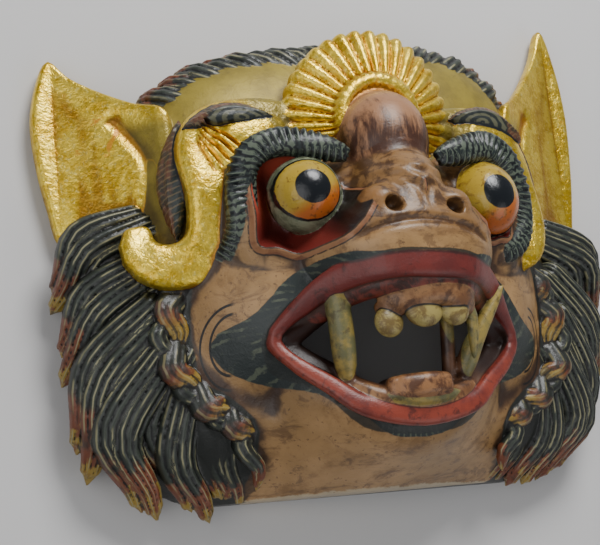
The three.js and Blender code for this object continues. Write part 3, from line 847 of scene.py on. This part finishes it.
def paint_fields(mesh, co):
    """Distances in mm that the paint is laid out by: above zero inside each region."""
    count = len(co)
    far = F(25)
    names = sorted({name for name, _, _ in FORMS + MOUTH_FORMS})
    near = {name: np.full(count, far, F) for name in names}
    strand = np.zeros(count, F)
    share = np.zeros(count, F)
    best = np.full(count, far, F)
    for name, _, form in FORMS + MOUTH_FORMS:
        inside = ((co > form["low"]) & (co < form["high"])).all(1)
        if not inside.any():
            continue
        d, along, over = form["distance"](co[inside])
        near[name][inside] = np.minimum(near[name][inside], d)
        if along is None:
            continue
        index = np.nonzero(inside)[0]
        nearer = d < best[index]
        index = index[nearer]
        best[index] = d[nearer]
        share[index] = along[nearer]
        strands_here = form.get("strands", 1)
        strand[index] = form.get("seed", 0) + (over[nearer] * 0.5 + 0.5) * strands_here
    x, y, z = co.T
    base = (z - sample(PLANS["dug"], x, y)) / sample(PLANS["steep"], x, y)
    cave = (sample(PLANS["hollow"], x, y) - z) / sample(PLANS["hollow_steep"], x, y)
    stack = np.stack([near[name] for name in names] + [base])
    order = np.sort(stack, axis=0)
    fields = {}
    for k, name in enumerate(names + ["base"]):
        others = np.where(stack[k] <= order[0], order[1], order[0])
        fields[name] = np.clip(others - stack[k], -FIELD_LIMIT, FIELD_LIMIT)
    for name in ("socket", "mouth", "forehead", "dark_band", "face", "lip_edge"):
        fields[name] = -sample(PLANS[name], x, y)
    fields["ear_crease"] = sample(PLANS["ear_crease"], np.abs(x), y)
    fields["cave"] = np.clip(cave, -FIELD_LIMIT, FIELD_LIMIT)
    fields["height"] = z
    fields["strand"] = strand
    fields["share"] = share
    fields["upward"] = y
    fields["sideways"] = x
    edges = np.empty(len(mesh.edges) * 2, np.int32)
    mesh.edges.foreach_get("vertices", edges)
    edges = edges.reshape(-1, 2)
    normal = np.empty(count * 3, F)
    mesh.vertices.foreach_get("normal", normal)
    normal = normal.reshape(-1, 3)
    for rounds, name in ((4, "fine_hollow"), (30, "wide_hollow")):
        smooth = hollows(co, edges, rounds)
        fields[name] = ((smooth - co) * normal).sum(1)
    for name, values in fields.items():
        attribute = mesh.attributes.new("f_" + name, "FLOAT", "POINT")
        attribute.data.foreach_set("value", np.ascontiguousarray(values, F))


def rgb(red, green, blue):
    """Linear colour of an everyday 0 to 255 colour."""
    linear = [(v / 255 / 12.92) if v <= 10 else ((v / 255 + 0.055) / 1.055) ** 2.4
              for v in (red, green, blue)]
    return (*linear, 1)


class Shader:
    """Short ways to add nodes to a material."""

    def __init__(self, name):
        self.material = bpy.data.materials.new(name)
        self.material.use_nodes = True
        self.tree = self.material.node_tree
        self.out = self.tree.nodes["Principled BSDF"]
        self.place = self.tree.nodes.new("ShaderNodeTexCoord").outputs["Object"]

    def put(self, socket, value):
        if hasattr(value, "is_output"):
            self.tree.links.new(value, socket)
        else:
            socket.default_value = value

    def fill(self, node, values):
        for name, value in values.items():
            self.put(node.inputs[name], value)

    def field(self, name):
        node = self.tree.nodes.new("ShaderNodeAttribute")
        node.attribute_name = "f_" + name
        return node.outputs["Fac"]

    def math(self, kind, a, b=0.0, c=0.0):
        node = self.tree.nodes.new("ShaderNodeMath")
        node.operation = kind
        for socket, value in zip(node.inputs, (a, b, c)):
            self.put(socket, value)
        return node.outputs[0]

    def add(self, a, b):
        return self.math("ADD", a, b)

    def less(self, a, b):
        return self.math("SUBTRACT", a, b)

    def size(self, a):
        return self.math("ABSOLUTE", a)

    def most(self, a, b):
        return self.math("MAXIMUM", a, b)

    def sway(self, noise, width):
        """Noise as a shift to either side of zero."""
        return self.times(self.less(noise, 0.5), width)

    def times(self, a, b):
        return self.math("MULTIPLY", a, b)

    def length(self, a, b):
        return self.math("SQRT", self.add(self.times(a, a), self.times(b, b)))

    def ramp(self, value, low, high, to_low=0.0, to_high=1.0):
        node = self.tree.nodes.new("ShaderNodeMapRange")
        node.interpolation_type = "SMOOTHSTEP"
        self.fill(node, {"Value": value, "From Min": low, "From Max": high,
                         "To Min": to_low, "To Max": to_high})
        return node.outputs["Result"]

    def noise(self, scale, detail=3.0, rough=0.55, distortion=0.0, vector=None, stretch=None):
        node = self.tree.nodes.new("ShaderNodeTexNoise")
        vector = self.place if vector is None else vector
        if stretch:
            vector = self.stretched(vector, stretch)
        self.put(node.inputs["Vector"], vector)
        self.fill(node, {"Scale": scale, "Detail": detail, "Roughness": rough, "Distortion": distortion})
        return node.outputs["Fac"]

    def stretched(self, vector, factors):
        node = self.tree.nodes.new("ShaderNodeVectorMath")
        node.operation = "MULTIPLY"
        self.put(node.inputs[0], vector)
        self.put(node.inputs[1], factors)
        return node.outputs[0]

    def vector(self, x, y, z):
        node = self.tree.nodes.new("ShaderNodeCombineXYZ")
        for socket, value in zip(node.inputs, (x, y, z)):
            self.put(socket, value)
        return node.outputs[0]

    def mix(self, share, a, b, kind="MIX"):
        node = self.tree.nodes.new("ShaderNodeMix")
        node.data_type = "RGBA"
        node.blend_type = kind
        self.put(node.inputs[0], share)
        self.put(node.inputs[6], a)
        self.put(node.inputs[7], b)
        return node.outputs[2]

    def blend(self, share, a, b):
        node = self.tree.nodes.new("ShaderNodeMix")
        self.put(node.inputs[0], share)
        self.put(node.inputs[2], a)
        self.put(node.inputs[3], b)
        return node.outputs[0]


def painted_wood():
    s = Shader("painted_wood")
    wobble = s.less(s.noise(260, 2), 0.5)

    def inside(name, at=0.0, soft=0.25, uneven=1.0):
        value = s.math("MULTIPLY_ADD", wobble, uneven, s.field(name))
        return s.ramp(value, at - soft, at + soft)

    def over(share, first, second):
        """Second colour laid over the first."""
        return s.mix(share, first, second)

    def layered(colour, layers):
        """Colour with thin coats over it: the share of each and its red, green and blue."""
        for share, red, green, blue in layers:
            colour = over(share, colour, rgb(red, green, blue))
        return colour

    blotch = s.noise(22, 4, 0.6)
    patch = s.noise(60, 5, 0.65)
    mottle = s.noise(130, 5, 0.7, 0.5)
    grain = s.noise(900, 3, 0.6)
    speck = s.noise(420, 2, 0.5)
    fine = s.field("fine_hollow")
    wide = s.field("wide_hollow")
    base = inside("base", -0.3, 0.3, 0.5)
    upward = s.field("upward")
    sideways = s.field("sideways")
    across = s.size(sideways)

    # Skin with brown rubbed into it
    skin = layered(rgb(174, 136, 90), [
        (s.ramp(blotch, 0.35, 0.65), 148, 114, 70),
        (s.ramp(patch, 0.50, 0.70), 132, 98, 58),
        (s.ramp(mottle, 0.56, 0.66, 0, 0.6), 100, 72, 46)])
    stain = s.noise(70, 5, 0.7, 0.8, stretch=(0.45, 1.6, 1))
    skin = over(s.ramp(stain, 0.50, 0.68, 0, 0.7), skin, rgb(92, 64, 38))
    cut_edge = s.ramp(s.add(upward, s.sway(mottle, 4)), -105.7, -106.4)
    skin = over(s.times(cut_edge, 0.6), skin, rgb(196, 186, 160))
    rubbed = s.add(s.times(wide, 0.7), s.sway(patch, 2.0))
    skin = layered(skin, [
        (s.ramp(rubbed, 0.25, 1.3, 0, 0.8), 74, 48, 30),
        (s.ramp(fine, 0.04, 0.22, 0, 0.8), 46, 30, 22),
        (s.ramp(speck, 0.66, 0.72, 0, 0.6), 80, 54, 36)])
    colour = over(inside("face", 0, 0.6), rgb(36, 38, 34), skin)
    for centre_x, centre_y, radius_x, radius_y in CHEEK_ARCS:
        u = s.math("DIVIDE", s.less(across, centre_x), radius_x)
        v = s.math("DIVIDE", s.less(upward, centre_y), radius_y)
        off = s.size(s.less(s.length(u, v), 1))
        arc = s.times(s.ramp(off, 0.6 / radius_x, 0.3 / radius_x), s.ramp(u, -0.1, 0.15))
        colour = over(arc, colour, rgb(26, 22, 20))
    nose = s.times(s.ramp(across, 46, 34), s.ramp(upward, 2, 12))
    colour = over(s.times(nose, 0.75), colour, rgb(126, 90, 50))
    dirt = s.add(s.add(mottle, s.times(wide, 0.03)), s.sway(stain, 0.5))
    colour = over(s.times(nose, s.ramp(dirt, 0.42, 0.58, 0, 0.85)), colour, rgb(66, 42, 24))
    wing = s.times(s.ramp(s.length(s.add(sideways, 28), s.less(upward, 24)), 9, 4), 0.35)
    colour = over(s.times(wing, s.ramp(patch, 0.4, 0.55)), colour, rgb(150, 96, 40))
    shine = s.add(0.32, s.times(patch, 0.14))
    metal = 0.0

    # Forehead and temples in dull gold paint
    olive = layered(rgb(152, 134, 50), [
        (s.ramp(patch, 0.35, 0.7), 124, 108, 40),
        (s.ramp(mottle, 0.55, 0.7, 0, 0.5), 92, 74, 32),
        (s.ramp(wide, 0.5, 1.5, 0, 0.7), 76, 60, 30)])
    outside = s.less(1, inside("face", -0.4, 0.3))
    upper = s.most(inside("forehead"), s.times(outside, s.ramp(upward, 14, 18)))
    on_forehead = s.times(upper, base)
    colour = over(on_forehead, colour, olive)
    metal = s.blend(on_forehead, metal, 0.3)
    shine = s.blend(on_forehead, shine, 0.5)

    # Dark bump, streaked with brown
    streak = s.noise(200, 4, 0.7, 0.4, stretch=(1, 0.2, 0.4))
    lower = s.add(s.ramp(upward, 86, 52, -0.14, 0.16), streak)
    bump = layered(rgb(156, 112, 78), [
        (s.ramp(lower, 0.40, 0.64), 66, 38, 24),
        (s.ramp(mottle, 0.55, 0.66, 0, 0.6), 112, 74, 50)])
    colour = over(inside("bump", -0.5, 1.5, 3.0), colour, bump)

    # Sockets: red, darker towards the bottom, with painted shade on the side by the nose and over the
    # deepest part
    low = s.add(upward, s.sway(patch, 10))
    socket = layered(rgb(186, 80, 60), [
        (s.ramp(low, 34, 16), 112, 38, 32),
        # Painted shade: almost black on the side by the nose, and darker still over the deepest part of the
        # socket
        (s.ramp(across, 46, 36), 24, 11, 10),
        (s.ramp(s.field("height"), 70, 62, 0, 0.8), 30, 14, 13)])
    in_socket = s.times(inside("socket", 0, 0.2, 0.4), base)
    colour = over(in_socket, colour, socket)
    edge = s.add(s.field("socket"), s.times(wobble, 0.6))
    tan = s.times(s.ramp(edge, -3.2, -2.8), s.ramp(edge, -0.4, -0.8))
    colour = over(s.times(s.times(tan, base), 0.6), colour, rgb(150, 96, 66))
    rim = s.times(s.ramp(s.size(s.add(edge, 3.1)), 0.5, 0.2), s.ramp(mottle, 0.4, 0.5))
    rim = s.most(rim, s.ramp(s.size(s.add(edge, 0.2)), 0.55, 0.25))
    colour = over(s.times(s.times(rim, base), 0.85), colour, rgb(26, 20, 18))

    # Dark band round the mouth, with pale strokes
    bearing = s.math("ARCTAN2", s.add(upward, 40), sideways)
    fan = s.add(s.times(bearing, 46), s.times(s.field("dark_band"), 0.35))
    strokes = s.size(s.math("SINE", s.add(fan, s.times(wobble, 2.4))))
    strokes = s.times(s.ramp(strokes, 0.80, 0.97), s.ramp(patch, 0.42, 0.56))
    dark = over(s.times(strokes, 0.55), rgb(34, 42, 40), rgb(104, 110, 88))
    band = s.times(inside("dark_band", 0, 0.3, 1.0), inside("face"))
    colour = over(s.times(band, base), colour, dark)
    colour = over(s.times(s.times(inside("lip_edge", -2.2, 0.3), base), 0.9), colour, rgb(32, 36, 32))

    # Mouth and lips
    # Palate: brown, with painted shade that darkens it deeper inside the mouth
    palate = layered(rgb(116, 78, 52), [
        (s.ramp(patch, 0.4, 0.6), 60, 38, 26),
        (s.ramp(s.field("height"), 88, 74), 44, 28, 22)])
    colour = over(s.times(s.ramp(s.field("mouth"), -2.5, -1.5), base), colour, palate)
    low_lip = over(s.ramp(upward, -48, -28), rgb(138, 58, 42), rgb(110, 42, 36))
    red = over(s.ramp(patch, 0.4, 0.7), low_lip, rgb(92, 34, 30))
    red = layered(red, [
        (s.ramp(mottle, 0.54, 0.66, 0, 0.7), 64, 30, 26),
        (s.ramp(s.field("lip"), 1.0, 0.3, 0, 0.8), 44, 26, 24)])
    inner_lip = over(s.ramp(patch, 0.42, 0.62), rgb(168, 104, 58), rgb(120, 66, 38))
    roof = over(s.ramp(mottle, 0.42, 0.6), rgb(116, 52, 40), rgb(60, 34, 26))
    inner_lip = over(s.ramp(s.less(upward, s.times(s.ramp(sideways, 10, 30), 10)), -40, -34),
                     inner_lip, roof)
    inner_lip = over(s.ramp(fine, 0.02, 0.3), inner_lip, rgb(70, 38, 26))
    colour = over(inside("inner", 0, 0.3, 0.6), colour, inner_lip)
    colour = over(inside("lip", 0, 0.3, 0.6), colour, red)
    gum = layered(rgb(148, 108, 70), [
        (s.ramp(patch, 0.4, 0.6), 112, 74, 44),
        (s.ramp(mottle, 0.48, 0.62, 0, 0.8), 68, 42, 28)])
    colour = over(inside("gum", 0, 0.3), colour, gum)
    tooth = layered(rgb(158, 142, 82), [
        (s.ramp(mottle, 0.44, 0.6), 112, 92, 50),
        (s.ramp(s.field("tooth"), 1.4, 0.4), 34, 28, 22)])
    colour = over(inside("tooth", -0.2, 0.2, 0.3), colour, tooth)
    tusk = layered(rgb(158, 136, 68), [
        (s.ramp(patch, 0.42, 0.6), 104, 102, 66),
        (s.ramp(mottle, 0.54, 0.64, 0, 0.7), 78, 66, 40)])
    colour = over(inside("tusk", -0.1, 0.25, 0.4), colour, tusk)
    tongue = over(s.ramp(mottle, 0.42, 0.6), rgb(148, 104, 66), rgb(86, 54, 34))
    colour = over(inside("tongue"), colour, tongue)

    # Eyes
    right = s.ramp(sideways, -1, 1)
    (left_x, left_y), (right_x, right_y) = PUPILS
    off_x = s.less(sideways, s.blend(right, left_x, right_x))
    off_y = s.less(upward, s.blend(right, left_y, right_y))
    radius = s.add(s.length(off_x, off_y), s.times(wobble, 0.7))
    white = over(s.ramp(mottle, 0.4, 0.6), rgb(136, 142, 114), rgb(100, 108, 84))
    low_right = s.add(s.times(off_x, 0.5), s.times(off_y, -0.8))
    iris = layered(rgb(178, 148, 48), [
        (s.ramp(low_right, 2, 9), 186, 98, 36),
        (s.ramp(mottle, 0.52, 0.66, 0, 0.6), 128, 94, 34),
        (s.ramp(speck, 0.6, 0.7, 0, 0.6), 92, 60, 26)])
    past = s.less(radius, s.blend(right, 15.5, 19.5))
    ring = s.ramp(s.size(past), 0.6, 0.25)
    eye = over(s.ramp(past, -0.1, 0.1), iris, white)
    eye = layered(eye, [
        (ring, 24, 22, 20),
        (s.ramp(radius, 8.9, 8.4), 18, 22, 26)])
    on_eye = inside("eye", 0, 0.2, 0.2)
    colour = over(on_eye, colour, eye)
    shine = s.blend(on_eye, shine, 0.2)

    # Hair: pale strokes along the ridges, red and gold tips
    strand = s.field("strand")
    share = s.field("share")
    ridge = s.size(s.math("SINE", s.times(strand, math.pi)))
    along = s.vector(s.math("FLOOR", strand), s.times(share, 2.5), 0)
    vary = s.noise(1.7, 2, 0.5, vector=along)
    hair = layered(rgb(20, 23, 21), [
        (s.ramp(ridge, 0.3, 0.95), 54, 60, 51),
        (s.ramp(patch, 0.42, 0.62, 0, 0.6), 38, 41, 37)])
    pale = s.times(s.ramp(ridge, 0.91, 0.985), s.ramp(vary, 0.42, 0.56))
    tip = s.add(share, s.sway(vary, 0.6))
    gold_tip = s.add(tip, s.sway(patch, 0.8))
    tips = layered(rgb(112, 62, 40), [
        (s.ramp(gold_tip, 0.84, 0.94), 150, 124, 52),
        (s.ramp(mottle, 0.54, 0.66, 0, 0.7), 54, 44, 34)])
    hair = over(s.ramp(tip, 0.64, 0.72), hair, tips)
    hair = layered(hair, [
        (s.times(pale, 0.75), 150, 144, 108),
        (s.ramp(fine, 0.03, 0.28, 0, 0.9), 20, 20, 19)])
    for name in ("mane", "hair"):
        colour = over(inside(name, 0, 0.25, 0.4), colour, hair)
    curl = layered(rgb(108, 56, 38), [
        (s.ramp(s.add(share, s.times(vary, 0.3)), 0.5, 0.75), 146, 118, 50),
        (s.ramp(mottle, 0.48, 0.6, 0, 0.8), 52, 46, 32),
        (s.ramp(share, 0.42, 0.28), 40, 44, 38),
        (s.ramp(ridge, 0.6, 0.3, 0, 0.7), 34, 34, 30),
        (s.times(pale, 0.4), 162, 150, 104),
        (s.ramp(s.field("curl"), 1.3, 0.5), 24, 24, 22),
        (s.ramp(fine, 0.03, 0.25, 0, 0.9), 28, 24, 21)])
    colour = over(inside("curl", 0, 0.25, 0.4), colour, curl)
    mane = s.most(inside("mane", 0, 0.25, 0.4), inside("hair", 0, 0.25, 0.4))
    metal = s.blend(mane, metal, 0.0)

    # Eyebrow: dark flutes with pale edges
    phase = s.add(s.times(share, BROW_FLUTES), s.less(strand, 0.5))
    flute = s.size(s.math("SINE", s.times(phase, math.pi)))
    stroke = s.times(s.ramp(flute, 0.92, 0.99), s.ramp(mottle, 0.36, 0.5))
    brow = layered(rgb(30, 38, 38), [
        (stroke, 88, 97, 82),
        (s.ramp(flute, 0.75, 0.4), 12, 14, 15)])
    colour = over(inside("brow", 0, 0.25, 0.4), colour, brow)

    # Gold leaf, worn to its orange ground in spots, with painted glints and painted shade in its folds and
    # hollows
    # Painted glints: bright flecks of light on the crinkled leaf, with darker shaded flecks between them
    glint_noise = s.noise(520, 4, 0.75, 0.6)
    leaf = layered(rgb(246, 212, 72), [
        (s.ramp(s.noise(95, 4, 0.7), 0.42, 0.62), 212, 172, 38),
        (s.ramp(glint_noise, 0.54, 0.64, 0, 0.6), 255, 238, 140),
        (s.ramp(glint_noise, 0.42, 0.34, 0, 0.5), 150, 104, 18)])
    spot = s.times(s.ramp(s.noise(60, 5, 0.7, 0.6), 0.63, 0.67), s.ramp(blotch, 0.45, 0.58))
    spot = s.times(spot, s.less(1, s.times(inside("band"), 0.7)))
    leaf = over(spot, leaf, rgb(206, 142, 26))
    # Painted shade: orange-brown along the ear's crease, in the broad hollows of the band and comb, and in
    # the leaf's fine creases
    ear_fold = s.times(s.ramp(s.field("ear_crease"), 4.5, 0.5), inside("ear"))
    in_fold = s.times(s.ramp(wide, 0.6, 1.8, 0, 0.8), s.less(1, inside("ear")))
    fold_shade = s.most(s.times(ear_fold, 0.6), in_fold)
    leaf = layered(leaf, [
        (fold_shade, 168, 112, 22),
        (s.ramp(fine, 0.08, 0.4, 0, 0.7), 146, 88, 20)])
    gilded = s.most(inside("ear", 0, 0.25, 0.4), inside("band", 0, 0.25, 0.4))
    gilded = s.most(gilded, inside("comb", 0, 0.25, 0.4))
    colour = over(gilded, colour, leaf)
    dull = s.times(s.times(inside("band"), s.ramp(share, 0.22, 0.14)), s.ramp(upward, 56, 62))
    off_middle = s.less(upward, 54)
    fold_at = s.math("MULTIPLY_ADD", s.times(off_middle, off_middle), 0.0081, 109.3)
    root = s.times(inside("ear"), s.ramp(s.less(across, fold_at), 0.5, -1.0))
    root = s.times(root, s.ramp(upward, 98, 84))
    dull = s.most(dull, root)
    colour = over(dull, colour, olive)
    metal = s.blend(gilded, metal, s.blend(s.most(spot, fold_shade), 0.82, 0.3))
    metal = s.blend(dull, metal, 0.3)
    shine = s.blend(gilded, shine, s.add(0.2, s.times(mottle, 0.22)))

    # Leaf ornaments
    cross = s.less(strand, 0.5)
    reach = s.length(s.times(s.less(share, 0.62), 1.5), s.less(strand, 0.1))
    arcs = s.size(s.math("SINE", s.times(reach, 17)))
    on_brow = s.ramp(upward, 68, 72)
    hatch = s.size(s.math("SINE", s.times(s.add(s.times(share, 20), s.times(cross, 2)), math.pi)))
    inner = layered(rgb(96, 60, 40), [
        (s.ramp(mottle, 0.42, 0.6), 52, 48, 36),
        (s.times(s.ramp(cross, 0.05, 0.2), s.less(1, on_brow)), 34, 44, 40),
        (s.times(s.ramp(hatch, 0.84, 0.97), 0.45), 132, 112, 76)])
    arc_part = over(s.ramp(arcs, 0.6, 0.85), rgb(30, 36, 34), rgb(86, 86, 66))
    inner = over(s.times(s.ramp(reach, 0.62, 0.52), on_brow), inner, arc_part)
    ornament = over(s.ramp(s.field("leaf"), 0.7, 1.3), rgb(20, 26, 30), inner)
    ornament = over(s.ramp(fine, 0.03, 0.2, 0, 0.6), ornament, rgb(18, 18, 18))
    on_leaf = inside("leaf", -0.3, 0.2, 0.2)
    colour = over(on_leaf, colour, ornament)
    metal = s.blend(on_leaf, metal, 0.0)

    # Bare wood behind and in the hollow
    rings = s.noise(60, 3, 0.6, 1.0, stretch=(6, 1, 6))
    bare = over(s.ramp(rings, 0.35, 0.65), rgb(150, 118, 82), rgb(108, 80, 52))
    behind = s.most(s.ramp(s.field("cave"), -1.2, -0.6), s.ramp(s.field("height"), 0.3, 0.1))
    colour = over(behind, colour, bare)
    metal = s.blend(behind, metal, 0.0)
    shine = s.blend(behind, shine, 0.7)

    crinkle = s.add(s.times(s.noise(330, 3, 0.6, 0.6), 0.9), s.times(s.noise(900, 3, 0.6), 0.25))
    tool = s.add(s.times(mottle, 0.5), s.times(grain, 0.15))
    height = s.blend(gilded, tool, crinkle)
    bump_node = s.tree.nodes.new("ShaderNodeBump")
    bump_node.inputs["Strength"].default_value = 0.6
    bump_node.inputs["Distance"].default_value = 0.0010
    s.put(bump_node.inputs["Height"], height)
    s.put(s.out.inputs["Normal"], bump_node.outputs[0])
    s.put(s.out.inputs["Base Color"], colour)
    s.put(s.out.inputs["Roughness"], shine)
    s.put(s.out.inputs["Metallic"], metal)
    return s.material


def camera():
    azimuth, elevation, roll = [math.radians(v) for v in (23.9, -12.0, -6.0)]
    distance, focal, shift_x, shift_y = 744.0, 1354.0, -18.3, 14.6
    back = Vector((-math.sin(azimuth) * math.cos(elevation), math.sin(elevation),
                   math.cos(azimuth) * math.cos(elevation)))
    right = Vector((math.cos(azimuth), 0, math.sin(azimuth)))
    up = back.cross(right)
    r = math.cos(roll) * right + math.sin(roll) * up
    u = -math.sin(roll) * right + math.cos(roll) * up
    place = back * distance + r * shift_x + u * shift_y
    place -= Vector((FOOT_CENTRE[0], FOOT_CENTRE[1], 0))
    data = bpy.data.cameras.new("camera")
    data.sensor_width = SENSOR_WIDTH
    data.lens = focal * SENSOR_WIDTH / PHOTO_WIDTH
    data.clip_start, data.clip_end = 0.01, 10
    made = bpy.data.objects.new("camera", data)
    bpy.context.scene.collection.objects.link(made)
    made.matrix_world = Matrix((
        (r.x, u.x, back.x, place.x / 1000),
        (r.y, u.y, back.y, place.y / 1000),
        (r.z, u.z, back.z, place.z / 1000),
        (0, 0, 0, 1)))
    bpy.context.scene.camera = made


def area_light(name, place, size, power, colour=(1, 1, 1)):
    data = bpy.data.lights.new(name, "AREA")
    data.shape = "DISK"
    data.size = size
    data.energy = power
    data.color = colour
    made = bpy.data.objects.new(name, data)
    bpy.context.scene.collection.objects.link(made)
    made.location = place
    made.rotation_mode = "QUATERNION"
    made.rotation_quaternion = (Vector((0, 0, 0.03)) - Vector(place)).to_track_quat("-Z", "Y")


def studio():
    mesh = bpy.data.meshes.new("floor")
    s = 2.5
    mesh.from_pydata([(-s, -s, 0), (s, -s, 0), (s, s, 0), (-s, s, 0)], [], [(0, 1, 2, 3)])
    floor = bpy.data.objects.new("floor", mesh)
    bpy.context.scene.collection.objects.link(floor)
    material = bpy.data.materials.new("floor")
    material.use_nodes = True
    shader = material.node_tree.nodes["Principled BSDF"]
    shader.inputs["Base Color"].default_value = (0.62, 0.61, 0.60, 1)
    shader.inputs["Roughness"].default_value = 0.9
    mesh.materials.append(material)
    area_light("key", (0.15, 0.75, 0.75), 0.5, 12)
    area_light("fill", (-0.8, -0.2, 0.9), 1.0, 4)
    area_light("front", (0.5, -0.7, 0.8), 0.8, 2)
    world = bpy.data.worlds.new("world")
    world.use_nodes = True
    world.node_tree.nodes["Background"].inputs[0].default_value = (0.9, 0.93, 1.0, 1)
    world.node_tree.nodes["Background"].inputs[1].default_value = 0.25
    bpy.context.scene.world = world


def build():
    points, quads = largest(*carve())
    mesh = decimated(points, quads)
    count = len(mesh.vertices)
    co = np.empty(count * 3, F)
    mesh.vertices.foreach_get("co", co)
    co = co.reshape(-1, 3)
    paint_fields(mesh, co)
    mesh.vertices.foreach_set("co", placed(co).astype(F).ravel())
    mesh.update()
    mesh.shade_smooth()
    mesh.set_sharp_from_angle(angle=SHARP_ANGLE)
    made = bpy.data.objects.new("mask_carved", mesh)
    bpy.context.scene.collection.objects.link(made)
    mesh.materials.append(painted_wood())
    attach(made, "root")
    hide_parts("mask")
    return made


FORMS = all_forms()
MOUTH_FORMS = mouth_forms()
lay_out()
camera()
studio()
build()
